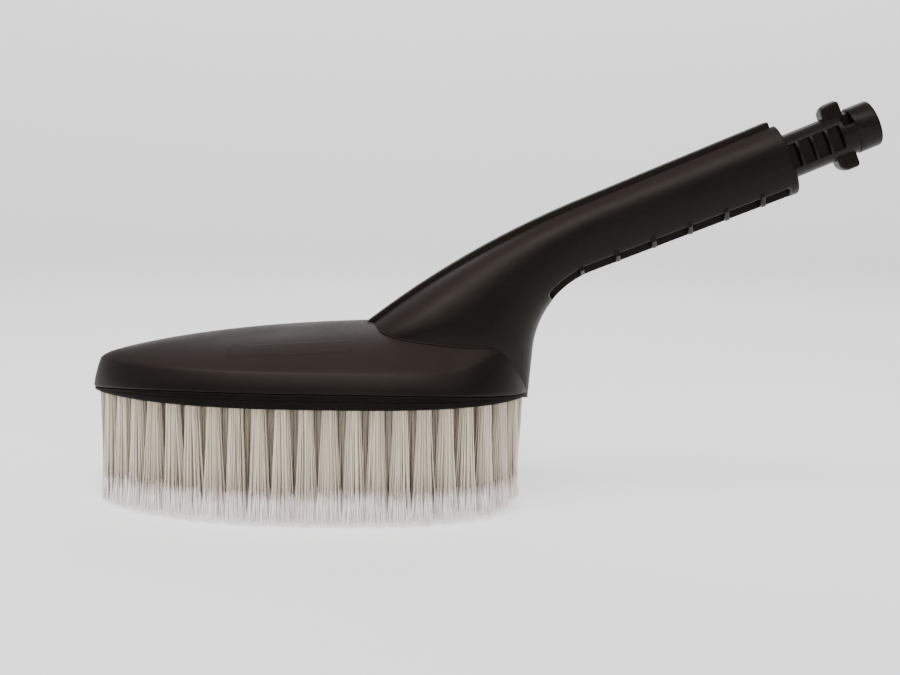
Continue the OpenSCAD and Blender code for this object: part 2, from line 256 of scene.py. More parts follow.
def belly(v):
    """Rear and underside line: a leaning straight up to 1, then an arc up to 2."""
    v = np.asarray(v, float)[..., None]
    foot = np.array([HEAD_LEN, BLOCK_Z])
    lean, slope = np.radians(BELLY_LEAN), np.radians(BELLY_SLOPE)
    centre = BELLY_START + BELLY_R * np.array([np.sin(lean), -np.cos(lean)])
    a = lean - np.clip(v - 1, 0, 1) * (lean - slope)
    arc = centre + BELLY_R * np.concatenate([-np.sin(a), np.cos(a)], -1)
    start = centre + BELLY_R * np.array([-np.sin(lean), np.cos(lean)])
    return np.where(v <= 1, foot + v * (start - foot), arc)


def meet(point, slope_degrees, s):
    """Where a straight line through point crosses the plane s along the inlet axis."""
    d = np.array([np.cos(np.radians(slope_degrees)), np.sin(np.radians(slope_degrees))])
    s = np.asarray(s, float)[..., None]
    return point + (s - (point - INLET) @ ALONG) / (d @ ALONG) * d


def crown_s(s, off=0.0):
    """The crown's straight stretch where it crosses the plane s, off above it."""
    slope = np.radians(CROWN_SLOPE)
    return meet(CROWN_END + off * np.array([-np.sin(slope), np.cos(slope)]), CROWN_SLOPE, s)


def belly_s(s):
    """The belly's straight stretch where it crosses the plane s."""
    return meet(belly(2.0), BELLY_SLOPE, s)


def on_axis(x, y, s):
    """A point below the inlet axis by x, aside by y and along it by s, in millimetres."""
    x, y, s = np.broadcast_arrays(*(np.asarray(v, float) for v in (x, y, s)))
    flat = INLET + s[..., None] * ALONG + x[..., None] * BELOW
    return np.stack([flat[..., 0], y, flat[..., 1]], -1)


# ---------- finishes ----------


class Finish:
    """A material under construction: its nodes and links in short calls."""

    def __init__(self, name):
        self.material = bpy.data.materials.new(name)
        self.material.use_nodes = True
        self.nodes, self.links = self.material.node_tree.nodes, self.material.node_tree.links
        self.shader = self.nodes["Principled BSDF"]
        self.coords = self.nodes.new("ShaderNodeTexCoord").outputs["Object"]

    def noise(self, scale, detail=4.0, roughness=0.55, stretch=None):
        """Noise over Object coordinates, scale in features per metre."""
        node = self.nodes.new("ShaderNodeTexNoise")
        node.inputs["Scale"].default_value = scale
        node.inputs["Detail"].default_value = detail
        node.inputs["Roughness"].default_value = roughness
        source = self.coords
        if stretch:
            mapping = self.nodes.new("ShaderNodeMapping")
            mapping.inputs["Scale"].default_value = stretch
            self.links.new(source, mapping.inputs["Vector"])
            source = mapping.outputs["Vector"]
        self.links.new(source, node.inputs["Vector"])
        return node.outputs["Fac"]

    def ramp(self, value, low, high, to_low, to_high):
        """Value from low..high mapped to to_low..to_high and held at the ends."""
        node = self.nodes.new("ShaderNodeMapRange")
        node.inputs["From Min"].default_value = low
        node.inputs["From Max"].default_value = high
        node.inputs["To Min"].default_value = to_low
        node.inputs["To Max"].default_value = to_high
        self.links.new(value, node.inputs["Value"])
        return node.outputs["Result"]

    def math(self, kind, a, b):
        node = self.nodes.new("ShaderNodeMath")
        node.operation = kind
        for socket, value in zip(node.inputs, (a, b)):
            if isinstance(value, float):
                socket.default_value = value
            else:
                self.links.new(value, socket)
        return node.outputs["Value"]

    def mix(self, factor, a, b):
        """A colour between a and b, each a colour or a socket."""
        node = self.nodes.new("ShaderNodeMix")
        node.data_type = "RGBA"
        self.links.new(factor, node.inputs["Factor"])
        for key, value in (("A", a), ("B", b)):
            socket = [s for s in node.inputs if s.name == key and s.type == "RGBA"][0]
            if isinstance(value, tuple):
                socket.default_value = (*value, 1.0)
            else:
                self.links.new(value, socket)
        return [s for s in node.outputs if s.type == "RGBA"][0]

    def bump(self, height, distance, strength=1.0, onto=None):
        node = self.nodes.new("ShaderNodeBump")
        node.inputs["Distance"].default_value = distance
        node.inputs["Strength"].default_value = strength
        self.links.new(height, node.inputs["Height"])
        if onto is not None:
            self.links.new(onto, node.inputs["Normal"])
        return node.outputs["Normal"]

    def into(self, socket, value):
        if isinstance(value, (float, tuple)):
            self.shader.inputs[socket].default_value = value
        else:
            self.links.new(value, self.shader.inputs[socket])

    def height_above_stand(self):
        """Height over the tips, in metres."""
        node = self.nodes.new("ShaderNodeSeparateXYZ")
        self.links.new(self.coords, node.inputs["Vector"])
        return node.outputs["Z"]

    def attribute(self, name):
        node = self.nodes.new("ShaderNodeAttribute")
        node.attribute_name = name
        return node.outputs["Fac"]


def moulded_plastic(name, colour, worn, dust_and_sheen, gloss, grain, specular=0.13):
    """Black moulded plastic: fine grain, rubbed places, and a lighter film where it faces up, part
    dust and part painted top sheen.
    """
    f = Finish(name)
    cloud = f.noise(38.0, 5.0, 0.6)
    fine = f.noise(2600.0, 2.0, 0.5)
    scuff = f.noise(420.0, 6.0, 0.7, (1.0, 0.35, 1.6))
    dust = f.math("MULTIPLY", f.ramp(cloud, 0.4, 0.75, 0.0, 0.6),
                  f.ramp(scuff, 0.4, 0.75, 0.0, 0.7))
    # Faces that look up are mixed toward a lighter brown: dust and a painted sheen on the top.
    film = f.ramp(f.attribute("upward"), 0.22, 0.95, 0.0, 1.0)
    f.into("Base Color", f.mix(film, f.mix(dust, tuple(colour), tuple(worn)), tuple(dust_and_sheen)))
    rough = f.math("ADD", f.ramp(cloud, 0.3, 0.7, gloss - 0.045, gloss + 0.045),
                   f.ramp(scuff, 0.5, 0.8, 0.0, 0.08))
    f.into("Roughness", rough)
    f.into("Specular IOR Level", specular)
    f.into("Specular Tint", (1.0, 0.9, 0.78, 1.0))
    f.into("Normal", f.bump(scuff, 0.00004, 0.5, f.bump(fine, grain, 0.7)))
    return f.material


def bristle_nylon(name, root, middle, tip, pink):
    """Translucent nylon: warmer and darker at the root, frosted where the tips are split."""
    f = Finish(name)
    z = f.height_above_stand()
    strand = f.attribute("strand")
    fray = f.noise(170.0, 3.0, 0.6)
    edge = f.math("ADD", z, f.ramp(fray, 0.3, 0.7, -0.0028, 0.0028))
    frost = f.ramp(edge, 0.0135, 0.0075, 0.0, 1.0)
    shaft = f.mix(f.ramp(z, 0.014, 0.043, 0.0, 1.0), tuple(middle), tuple(root))
    pale = f.mix(f.ramp(f.noise(60.0, 2.0), 0.4, 0.62, 0.0, 1.0), tuple(tip), tuple(pink))
    colour = f.mix(frost, shaft, pale)
    tinted = f.nodes.new("ShaderNodeHueSaturation")
    f.links.new(colour, tinted.inputs["Color"])
    f.links.new(f.ramp(strand, 0.0, 1.0, 0.86, 1.1), tinted.inputs["Value"])
    f.into("Base Color", tinted.outputs["Color"])
    f.into("Roughness", f.ramp(frost, 0.0, 1.0, 0.34, 0.62))
    f.into("Subsurface Weight", 0.5)
    f.into("Subsurface Radius", (0.004, 0.0035, 0.003))
    f.into("Subsurface Scale", 1.0)
    f.into("Normal", f.bump(f.noise(5200.0, 2.0, 0.5, (1.0, 1.0, 0.06)), 0.00003, 0.6))
    return f.material


def brushed_steel(name, colour, roughness):
    """Bright steel with fine drawn lines along X."""
    f = Finish(name)
    lines = f.noise(9000.0, 3.0, 0.6, (0.03, 1.0, 1.0))
    f.into("Base Color", f.mix(f.noise(300.0), tuple(colour), tuple(c * 0.8 for c in colour)))
    f.into("Metallic", 1.0)
    f.into("Roughness", f.ramp(lines, 0.3, 0.7, roughness - 0.08, roughness + 0.12))
    f.into("Normal", f.bump(lines, 0.00001, 0.5))
    return f.material


def seal_rubber(name, colour):
    """Dull black rubber with a light bloom."""
    f = Finish(name)
    f.into("Base Color", f.mix(f.ramp(f.noise(220.0), 0.4, 0.7, 0.0, 1.0), tuple(colour),
                               tuple(c * 1.8 + 0.01 for c in colour)))
    f.into("Roughness", f.ramp(f.noise(900.0), 0.3, 0.7, 0.55, 0.75))
    f.into("Normal", f.bump(f.noise(2400.0), 0.00003, 0.6))
    return f.material


# ---------- shapes: head ----------


def bezier_rows(a, corner, b, count):
    """Rows of a quadratic curve that leaves a for corner and bends to arrive at b."""
    t = np.linspace(0, 1, count)[:, None, None]
    return (1 - t) ** 2 * a + 2 * t * (1 - t) * corner + t**2 * b


def head_cover(round_share):
    """The domed cover: rows from inside, round the rim, up the flange and over the crease.

    Each row is the head's outline drawn in by some distance, at a height that depends on x and y.
    """
    n = 220

    def row(d, height):
        x, y = outline(n, d)
        return np.stack([x, y, height(x, y) + 0 * x], -1)

    def shrunk(d, f, drop):
        x, y = outline(n, d)
        x, y = NOSE_LEN + f * (x - NOSE_LEN), f * y
        return np.stack([x, y, deck_at(x, y) - drop], -1)

    def flange(t):
        """t from 0 at the rim to 1 at the crease; the wall bows out a little on its way in."""
        return row(
            FLANGE_LEAN * t**1.45,
            lambda x, y: flange_edge(x) + t * (crease_at(x) - flange_edge(x)),
        )

    inner = FLANGE_LEAN + 2 * WALL
    rows = [shrunk(inner, f, WALL) for f in (0.15, 0.35, 0.6, 0.85, 1.0)]
    rows.append(row(inner, lambda x, y: SEAT_Z))
    rows.append(row(FLANGE_LEAN, lambda x, y: SEAT_Z))
    rows.append(row(FLANGE_LEAN, lambda x, y: flange_edge(x)))
    for a in np.radians([0, 30, 60, 90]):
        lift = 0.5 * (1 - np.cos(a))
        rows.append(row(0.5 * (1 - np.sin(a)), lambda x, y, lift=lift: flange_edge(x) + lift))
    rows += [flange(t) for t in np.linspace(0.1, 1 - round_share, 9)]
    a, corner = flange(1 - round_share), flange(1.0)
    b = shrunk(FLANGE_LEAN, 1 - 0.36 * round_share, 0.0)
    rows += list(bezier_rows(a, corner, b, 12)[1:])
    first = 1 - 0.36 * round_share
    rows += [shrunk(FLANGE_LEAN, f, 0.0) for f in first * (1 - np.linspace(0, 1, 34)[1:-1] ** 1.1)]
    return loft(rows)


def name_panel(side):
    """A plain raised panel on the deck: a rounded oblong, its edge eased down into the deck."""
    u, v = np.meshgrid(np.linspace(-1, 1, 90), np.linspace(-1, 1, 34), indexing="ij")
    x, y = 79 + 23 * u, side * (26.6 + 3.3 * v - 1.0 * u**2)
    rim = np.maximum(0, 1 - np.abs(u) ** 24) * np.maximum(0, 1 - np.abs(v) ** 10)
    z = deck_at(x, y)
    top = np.stack([x, y, z - 0.3 + 0.55 * ease(rim * 1.6)], -1)
    low = np.stack([x, y, z - 0.9], -1)
    points = np.concatenate([top.reshape(-1, 3), low.reshape(-1, 3)])
    rows, cols = u.shape
    count = rows * cols
    skin = grid_faces(rows, cols, False)
    ids = np.arange(count).reshape(rows, cols)
    edge = np.concatenate([ids[0, :-1], ids[:-1, -1], ids[-1, :0:-1], ids[:0:-1, 0]])
    after = np.roll(edge, -1)
    walls = np.stack([after, edge, edge + count, after + count], -1)
    return points, outward(points, [skin, skin[:, ::-1] + count, walls])


# ---------- shapes: handle ----------

FOOT_TABLE = np.array([
    # belly place, crown place, half-width, fullness at the front
    [-0.1, -0.12, 18.0, 0.36],
    [0.0, 0.0, 20.0, 0.35],
    [0.5, 0.08, 23.0, 0.3],
    [1.0, 0.24, 22.0, 0.2],
    [1.2, 0.38, 19.0, 0.14],
    [1.4, 0.53, 16.5, 0.08],
    [1.5, 0.6, 15.4, 0.05],
    [1.58, 0.66, 14.6, 0.03],
    [1.7, 0.74, 13.6, 0.01],
    [1.85, 0.84, 12.7, 0.0],
    [2.0, 0.94, 12.15, 0.0],
])


def smooth_columns(table, count, passes):
    """A table's columns read at even steps, then averaged with their neighbours in passes."""
    at = np.linspace(0, len(table) - 1, count)
    cols = np.stack([np.interp(at, np.arange(len(table)), c) for c in table.T], -1)
    for _ in range(passes):
        cols[1:-1] = 0.25 * cols[:-2] + 0.5 * cols[1:-1] + 0.25 * cols[2:]
    return cols


def handle_sections():
    """At each section: low and high point, half-width, fullness, hollow share, depth, groove."""
    foot = smooth_columns(FOOT_TABLE, 110, 60)[1:]
    low = belly(np.maximum(foot[:, 0], 0)) + np.minimum(foot[:, :1], 0) * [0.0, 10.0]
    high = crown(foot[:, 1], -COVER_PROUD)
    first = max(-93.0, float((low[-1] - INLET) @ ALONG) + 1.0)
    s = np.concatenate([np.linspace(first, -8, 84), np.linspace(-7.5, BODY_END - 0.9, 14)])
    low = np.concatenate([low, belly_s(s)])
    high = np.concatenate([high, crown_s(s, -COVER_PROUD)])
    half = np.concatenate([foot[:, 2] * GRIP_HALF / 12, np.full(len(s), GRIP_HALF)])
    full = np.concatenate([foot[:, 3], 0 * s])
    hollow = np.concatenate([ease((foot[:, 0] - 1.5) / 0.07), ease((-5.2 - s) / 1.2)])
    deep = np.concatenate([np.interp(foot[:, 0], [1.5, 1.58, 1.7, 1.85], [7.0, 8, 12, 14]),
                           np.where(s < -39.5, 15.0, 4.6 + 10.4 * ease((-38 - s) / 3.0))])
    groove_end = ease((-29 - s) / 2.0) + 0.03 * ease((-4.5 - s) / 0.4)
    groove = np.concatenate([1 + 0 * foot[:, 0], groove_end])
    return low, high, half, full, hollow, deep, groove


def handle_body(skirt_gap):
    """The handle and its foot: superellipse sections strung between the belly and the crown.

    Half-width times sin(a)^0.86 and half-height times cos(a)^0.86, with a notch for the water
    channel in the crown and a hollow with a middle web in the underside.
    """
    low, high, half, full, hollow, deep, groove = handle_sections()
    tall = np.linalg.norm(high - low, axis=1) / 2
    way = (high - low) / (2 * tall[:, None])
    h, w = tall[:, None], half[:, None]
    e = SECTION_E
    lip, gut = COVER_W / 2 + 0.1, CHANNEL_W / 2
    a_lip = np.arcsin((lip / (w * (1 + full[:, None]))) ** (1 / e))
    edge = skirt_gap - h
    a_edge = np.pi - np.arccos((-edge / h) ** (1 / e))
    k = np.linspace(0, 1, 46)[None, :]
    a = a_lip + (a_edge - a_lip) * k
    side = np.stack([
        w * np.sin(a) ** e * (1 + full[:, None] * np.cos(a)),
        h * np.sign(np.cos(a)) * np.abs(np.cos(a)) ** e,
    ], -1)
    a = a_edge + (np.radians(179.6) - a_edge) * np.linspace(0, 1, 14)[None, 1:]
    solid = np.stack([
        w * np.sin(a) ** e * (1 + full[:, None] * np.cos(a)),
        -h * np.abs(np.cos(a)) ** e,
    ], -1)

    def out(c):
        """Half-width of the plain section at height c."""
        return w * (1 - np.abs(c / h) ** (2 / e)) ** (e / 2)

    roof = deep[:, None] - h
    wall_at = [edge + t * (roof - edge) for t in (0.03, 0.25, 0.5, 0.8, 1.0)]
    rim = side[:, -1:, 0]
    hollow_rows = [
        (rim - 0.25, edge - 0.22), (rim - 0.7, edge - 0.3), (rim - 1.3, edge - 0.22),
        *[(out(c) - WALL, c) for c in wall_at],
        (np.full_like(h, RIB_T / 2 + 0.6), roof), (np.full_like(h, RIB_T / 2), roof - 0.6),
        (np.full_like(h, RIB_T / 2), 0.5 * roof - 0.5 * h), (np.full_like(h, RIB_T / 2), 0.45 - h),
        (np.full_like(h, RIB_T / 2 - 0.35), 0.1 - h),
    ]
    open_side = np.stack([np.concatenate(c, 1) for c in zip(*hollow_rows)], -1)
    share = hollow[:, None, None]
    under = solid * (1 - share) + open_side * share
    bed = side[:, :1, 1] - 0.6
    depth = 6.0 * groove[:, None]
    across = (0.01, gut - 0.3, gut, gut + 0.02, lip - 0.25, lip - 0.02)
    gutter = bed - depth
    notch = np.stack([
        np.concatenate([np.full_like(h, v) for v in across], 1),
        np.concatenate(
            [gutter, gutter, gutter + 0.3 * groove[:, None], bed, bed, bed + 0.15], 1),
    ], -1)
    right = np.concatenate([notch, side, under], 1)
    whole = np.concatenate([right, right[:, ::-1] * [-1, 1]], 1)
    mid = (low + high) / 2
    flat = mid[:, None, :] + way[:, None, :] * whole[..., 1:]
    rings = np.stack([flat[..., 0], whole[..., 0], flat[..., 1]], -1)
    end = rings[-1]
    centre = end.mean(0)
    closing = []
    for a in np.radians([25, 50, 70, 90]):
        inset = 0.9 * (1 - np.cos(a))
        step = 0.9 * np.sin(a) * np.array([ALONG[0], 0, ALONG[1]])
        ring = centre + (end - centre) * (1 - inset / 13.0) + step
        closing.append(ring)
    return loft(np.concatenate([rings, np.array(closing)]))


def cross_rib(k):
    """A rib in the hollow: a rounded tongue across the handle, with eased edges."""
    s = -17.4 - 14.4 * k
    depth = 13.4 - 0.36 * k
    top = 8.7 if k < 2 else -3.0
    t = np.linspace(-1, 1, 18)
    y = 10.3 * t
    x = depth - (depth - 9.6) * np.clip(np.abs(t) - 0.55, 0, None) / 0.45
    x = np.concatenate([x, [top, top]])
    y = np.concatenate([y, [10.3, -10.3]])
    middle = (depth + top) / 2
    rings = []
    steps = ((0.35, 0.0), (0.1, 0.1), (0.0, 0.35), (0.0, 1.25), (0.1, 1.5), (0.35, RIB_T))
    for inset, along in steps:
        f = 1 - inset / 6.0
        rings.append(on_axis(middle + (x - middle) * f, y * f, s + along))
    return loft(rings)


def foot_bead():
    """A thin bead where the handle's foot meets the deck: a round section on the line they share.

    Down each side line of the foot the height over the deck changes sign once, and the crossing
    is found by straight interpolation.
    """
    low, high, half, full = handle_sections()[:4]
    tall = np.linalg.norm(high - low, axis=1)[:, None] / 2
    way = (high - low) / (2 * tall)
    a = np.radians(np.linspace(26, 152, 90))[None, :]
    e = SECTION_E
    y = half[:, None] * np.sin(a) ** e * (1 + full[:, None] * np.cos(a))
    c = tall * np.sign(np.cos(a)) * np.abs(np.cos(a)) ** e
    mid = (low + high) / 2
    x = mid[:, :1] + way[:, :1] * c
    z = mid[:, 1:] + way[:, 1:] * c
    over = z - deck_at(x, y)
    inside = (x < 158.5) & (y < half_at(x, FLANGE_LEAN + 0.6))
    crossing = (over[:-1] < 0) & (over[1:] >= 0) & inside[:-1] & inside[1:]
    found = np.flatnonzero(crossing.any(0))
    row = crossing.argmax(0)[found]
    f = over[row, found] / (over[row, found] - over[row + 1, found])
    line = np.stack([v[row, found] * (1 - f) + v[row + 1, found] * f for v in (x, y, z)], -1)
    return line


def swept_tube(line, radius, sides=10):
    """A round tube along a line of points, each ring square to the line, pinched at both ends."""
    d = np.gradient(line, axis=0)
    d /= np.linalg.norm(d, axis=1)[:, None]
    up = np.array([0.0, 0.0, 1.0])
    side = np.cross(d, up)
    side /= np.linalg.norm(side, axis=1)[:, None]
    top = np.cross(side, d)
    a = np.linspace(0, 2 * np.pi, sides, endpoint=False)
    k = np.arange(len(line))
    r = radius * np.sqrt(np.clip(np.minimum(k, k[::-1]) / 6, 0.02, 1))
    ring = np.cos(a)[None, :, None] * side[:, None] + np.sin(a)[None, :, None] * top[:, None]
    return loft(line[:, None] + r[:, None, None] * ring)


def cover_strip():
    """The strip over the water channel: a rounded oblong section carried along the crown."""
    u = np.linspace(0.01, 1, 90)
    s = np.linspace(float((CROWN_END - INLET) @ ALONG) + 1.2, -4.5, 60)
    top = np.concatenate([crown(u), crown_s(s)])
    base = np.concatenate([crown(u, -2.4), crown_s(s, -2.4)])
    down = (base - top) / 2.4
    half = COVER_W / 2
    a = np.radians(np.linspace(0, 90, 6))
    y = np.concatenate([half - 0.75 + 0.75 * np.sin(a), [half - 0.05, half - 0.5]])
    drop = np.concatenate([0.75 - 0.75 * np.cos(a), [2.2, 2.4]])
    y, drop = np.concatenate([[0.0], y]), np.concatenate([[0.0], drop])
    drop[:2] = [0.0, 0.06]
    y = np.concatenate([y, -y[:0:-1]])
    drop = np.concatenate([drop, drop[:0:-1]])
    flat = top[:, None] + drop[None, :, None] * down[:, None]
    rings = np.stack([flat[..., 0], np.broadcast_to(y, flat.shape[:2]), flat[..., 1]], -1)
    drawn_in = (rings[-1].mean(0) - rings[-1]) * 0.06
    last = rings[-1] + drawn_in + np.array([ALONG[0], 0, ALONG[1]]) * 0.25
    return loft(np.concatenate([rings, last[None]]))


# ---------- shapes: spigot ----------


def spigot_body():
    """The stepped shaft with pockets, its tip and its bore, as one grid round the inlet axis.

    Radius is a step profile along s. In a pocket the side is pushed in to a flat floor, and in
    the relief behind the tip the upper corner is cut away, both with eased walls.
    """
    a = np.linspace(0, 2 * np.pi, 240, endpoint=False)
    s = np.concatenate([[-34.0, -33.6, -20, -4], np.arange(-3.0, 24.6, 0.16)])
    radius = 7.5 + 0.9 * ease((s + 2.6) / 0.4)
    radius = np.where(s <= -33.9, 7.1, radius)
    x = radius[:, None] * np.cos(a)[None, :]
    y = radius[:, None] * np.sin(a)[None, :]
    station = s[:, None]
    middles = LAST_POCKET_S - POCKET_PITCH * np.arange(POCKETS)
    pocket = sum(window(station, c - 2.15, c + 2.15, 0.42) for c in middles)
    pocket = pocket * window(x, -4.4, 4.4, 0.5)
    floor = np.minimum(np.abs(y), 5.9)
    y = np.sign(y) * (np.abs(y) + (floor - np.abs(y)) * pocket)
    cut = window(station, 20.6, 24.4, 0.4) * ease((-3.2 - x) / 0.5 + 0.5)
    depth = np.clip(np.abs(y), None, 3.5)
    y = np.sign(y) * (np.abs(y) + (depth - np.abs(y)) * cut)
    low_top = window(station, 22.4, 24.4, 0.5) * ease((-x - 5.5) / 1.0)
    x = x * (1 - 0.09 * low_top)
    grid = on_axis(x, y, station)
    tip = [(8.45, 24.5), (TIP_R - 0.12, 24.55), (TIP_R, 24.8), (TIP_R, 27.0), (TIP_R, 30.0)]
    turn = np.radians([0, 18, 36, 54, 72, 90])
    tip += [(TIP_R - 1 + np.cos(t), TIP_S - 1 + np.sin(t)) for t in turn]
    tip += [(6.6, TIP_S), (SEAL_R + 0.4, TIP_S), (SEAL_R, TIP_S - 0.4), (SEAL_R, 27.0)]
    seat = TIP_S - SEAL_DEPTH
    tip += [(SEAL_R, seat), (3.1, seat), (3.0, seat - 0.3), (3.0, 0.0), (3.0, -34.0)]
    turned = [on_axis(r * np.cos(a), r * np.sin(a), at) for r, at in tip]
    return ring_solid(np.concatenate([grid, np.array(turned)]))


def bayonet_lug(side):
    """One lug: rounded oblong rings standing out from the shaft, capped by the lugs' own circle.

    The rear outer corner follows a quarter circle, and the front stays square.
    """
    t = np.linspace(0, 2 * np.pi, 72, endpoint=False)
    c, q = np.cos(t), np.sin(t)
    box = lambda v: np.sign(v) * np.abs(v) ** 0.22
    levels = [(x, 0) for x in (5.5, 8.0, 9.6, 10.4, 11.2, 11.9, 12.5)]
    levels += [(12.9, 0.12), (13.12, 0.35), (LUG_R, 0.7), (LUG_R, 1.6), (LUG_R, 2.6)]
    rings = []
    for x, inset in levels:
        rise = max(0.0, x - (LUG_R - LUG_CORNER))
        rear = LUG_S + LUG_CORNER - np.sqrt(max(0.0, LUG_CORNER**2 - rise**2)) + inset * 0.6
        rear = min(rear, LUG_S + LUG_CORNER)
        front = LUG_END - inset - 0.25 * ease((x - 12) / 1.2)
        along = (rear + front) / 2 + (front - rear) / 2 * box(c)
        y = (LUG_HALF - inset) * box(q)
        high = x - (LUG_R - np.sqrt(LUG_R**2 - y**2)) * ease((x - 8) / 4.5)
        rings.append(on_axis(side * high, y, along))
    return loft(rings)


# ---------- shapes: block and bristles ----------


def brush_block():
    """The block that holds the tufts: the head's outline in rows, its side under the flange."""
    n = 200

    def row(d, height):
        x, y = outline(n, d)
        return np.stack([x, y, height(x) + 0 * x], -1)

    def under(x):
        return flange_edge(x) - 0.3

    low = BLOCK_Z + 0.5
    rows = [row(d, lambda x: BLOCK_Z) for d in (30.0, 16.0, 4.0)]
    for a in np.radians([0, 30, 60, 90]):
        height = BLOCK_Z + 0.5 * (1 - np.cos(a))
        rows.append(row(0.3 + 0.5 * (1 - np.sin(a)), lambda x, height=height: height))
    for share in (0.3, 0.45, 0.5, 0.55, 0.6, 0.9):
        groove = 0.22 if share == 0.5 else 0.0
        rows.append(row(0.3 + groove, lambda x, t=share: low + t * (under(x) - low)))
    rows.append(row(0.55, under))
    rows.append(row(3.5, under))
    rows.append(row(3.5, lambda x: 49.0))
    rows.append(row(20.0, lambda x: 49.0))
    return loft(rows)


ROW_LIFT = (1.1, 0.6, 0.0, 0.0, 0.0)
TUFT_PITCH, ROW_INSET, ROW_GAP = 8.4, 4.5, 7.5
TOUCH_R, TIP_Y = 3.4, 39.5
ROOT_R = (2.5, 3.5, 3.5, 3.5, 3.0)
FLARE_R = (4.1, 4.7, 4.7, 4.6, 4.3)


def tuft_places(row):
    """Where a row's tufts stand: equal steps round the outline, less any that would touch."""
    d = ROW_INSET + (row - 1) * ROW_GAP
    x, y = side_line(d, 91)
    half_count = int(np.floor(np.hypot(np.diff(x), np.diff(y)).sum() / TUFT_PITCH + 0.3))
    x, y = outline(half_count, d)
    keep = (np.abs(y) < 0.01) | (np.abs(y) > TOUCH_R)
    return np.stack([x[keep], y[keep]], -1)


def tubes(paths, radii, phase):
    """Three-sided closed tubes, from paths (tubes, levels, 3) and radii (tubes, levels)."""
    count, levels = paths.shape[:2]
    a = phase[:, None, None] + np.array([0, 2, 4]) * np.pi / 3
    offset = np.stack([np.cos(a), np.sin(a), 0 * a], -1)
    points = paths[:, :, None] + radii[:, :, None, None] * offset
    base = (np.arange(count) * levels * 3)[:, None, None]
    sides = base + grid_faces(levels, 3)[None]
    low = base + np.array([[2, 1, 0]])[None]
    high = base + (levels - 1) * 3 + np.array([[0, 1, 2]])[None]
    return points.reshape(-1, 3), [
        sides.reshape(-1, 4)[:, ::-1], low.reshape(-1, 3)[:, ::-1], high.reshape(-1, 3)[:, ::-1]
    ]


def tuft_strands(row, per_tuft, thickness):
    """One row's bristles, spread in a sunflower pattern and flaring, each tip split in three.

    A strand runs from its root to its tip point with the share of height to the power 1.25, plus
    a small bow, and its three hairs spread over the last centimetre.
    """
    rng = np.random.default_rng(700 + row)
    centres = tuft_places(row)
    count = len(centres) * per_tuft
    k = np.arange(per_tuft) + 0.5
    golden = np.pi * (3 - np.sqrt(5))
    turned = np.repeat(rng.uniform(0, 6.28, len(centres)), per_tuft)
    angle = np.tile(k * golden, len(centres)) + turned
    reach = np.tile(np.sqrt(k / per_tuft), len(centres))
    centre = np.repeat(centres, per_tuft, 0)
    spoke = np.stack([np.cos(angle), np.sin(angle)], -1)
    root = centre + spoke * (reach * ROOT_R[row - 1])[:, None]
    lean = np.repeat(rng.normal(0, 0.28, (len(centres), 2)), per_tuft, 0)
    flare = FLARE_R[row - 1] * np.repeat(rng.uniform(1.0, 1.16, len(centres)), per_tuft)
    tip = centre + lean + spoke * (reach * flare)[:, None] + rng.normal(0, 0.42, (count, 2))
    shy = np.abs(rng.normal(0, 0.5, count))
    tip[:, 0] = np.clip(tip[:, 0], 3.7 + shy, 163.0 - shy)
    tip[:, 1] = np.clip(tip[:, 1], shy - TIP_Y, TIP_Y - shy)
    root[:, 0] = np.maximum(root[:, 0], 3.0)
    trimmed = 5.0 * ease((tip[:, 0] - 151) / 18) ** 1.3
    foot = ROW_LIFT[row - 1] + np.abs(rng.normal(0, 0.2, count)) + trimmed
    foot += 0.3 * np.repeat(rng.uniform(0, 1, len(centres)), per_tuft) * (row == 1)
    top = 45.5
    split = foot + rng.uniform(9.0, 12.5, count)

    def at(z, extra=0.0):
        share = np.clip((BLOCK_Z - z) / (BLOCK_Z - foot), 0, 1.0)
        bow = np.sin(np.pi * share)[:, None] * bend
        flat = root + (tip - root) * (share**1.25)[:, None] + bow + extra
        return np.stack([flat[:, 0], flat[:, 1], z], -1)

    bend = rng.normal(0, 0.16, (count, 2))
    levels = [np.full(count, top), np.full(count, BLOCK_Z - 1.0)]
    levels += [split + (BLOCK_Z - 1.0 - split) * t for t in (0.66, 0.33)] + [split - 1.2]
    shaft = np.stack([at(z) for z in levels], 1)
    phase = rng.uniform(0, 2.09, count)
    shafts = tubes(shaft, np.full((count, 5), thickness), phase)
    solids = [shafts]
    tint = rng.uniform(0, 1, count)
    tints = [np.repeat(tint, 15)]
    for hair in range(3):
        away = phase + hair * 2.094 + rng.normal(0, 0.4, count)
        spread = np.stack([np.cos(away), np.sin(away)], -1) * rng.uniform(0.3, 1.1, count)[:, None]
        end = foot + np.abs(rng.normal(0, 0.3, count))
        line = np.stack([
            at(split + 0.4, spread * 0.1), at((split + end) / 2, spread * 0.5), at(end, spread)
        ], 1)
        width = np.array([0.9, 0.95, 0.75])[None] * thickness * np.ones((count, 1))
        solids.append(tubes(line, width, phase + 0.7))
        tints.append(np.repeat(tint, 9))
    return solids, np.concatenate(tints)


# ---------- settings ----------


def colour_property(name, description, default):
    return bpy.props.FloatVectorProperty(
        name=name, description=description, default=default, subtype="COLOR", min=0.0, max=1.0
    )


